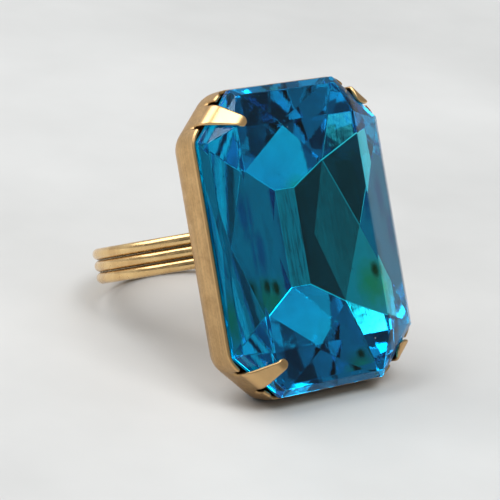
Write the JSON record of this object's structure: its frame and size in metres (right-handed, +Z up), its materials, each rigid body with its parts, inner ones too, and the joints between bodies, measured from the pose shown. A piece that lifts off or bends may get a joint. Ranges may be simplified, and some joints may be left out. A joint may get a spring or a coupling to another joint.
{
  "type": "cocktail ring",
  "caption": "Finger ring with a long cut-corner stone in a four-claw stamped cup, carried on a band of joined half-round wires.",
  "frame": {"origin": "centre of the ring's footprint on the surface it rests on", "axes": "+Z up; +X across the stone's width; the stone faces -Y and leans back, with the band behind it towards +Y; the finger hole's axis lies in the YZ plane"},
  "size_m": [0.0192, 0.0286, 0.0234],
  "materials": {
    "stone_glass": "deep teal-blue transparent glass, polished facets",
    "mirror_foil": "silvered foil on the back of the stone",
    "cup_brass": "raw stamped brass, satin, slightly darkened",
    "pad_brass": "raw brass, satin",
    "band_brass": "raw brass wire, soft polish",
    "solder": "pale solder fillet, dull"
  },
  "bodies": {
    "root": {"stone": "stone_glass", "foil_backing": "mirror_foil", "setting_cup": "cup_brass", "pad_solder": "solder", "ring_pad": "pad_brass", "band_wire_upper": "band_brass", "band_wire_middle": "band_brass", "band_wire_lower": "band_brass", "solder_seam_upper": "solder", "solder_seam_lower": "solder"}
  },
  "joints": []
}
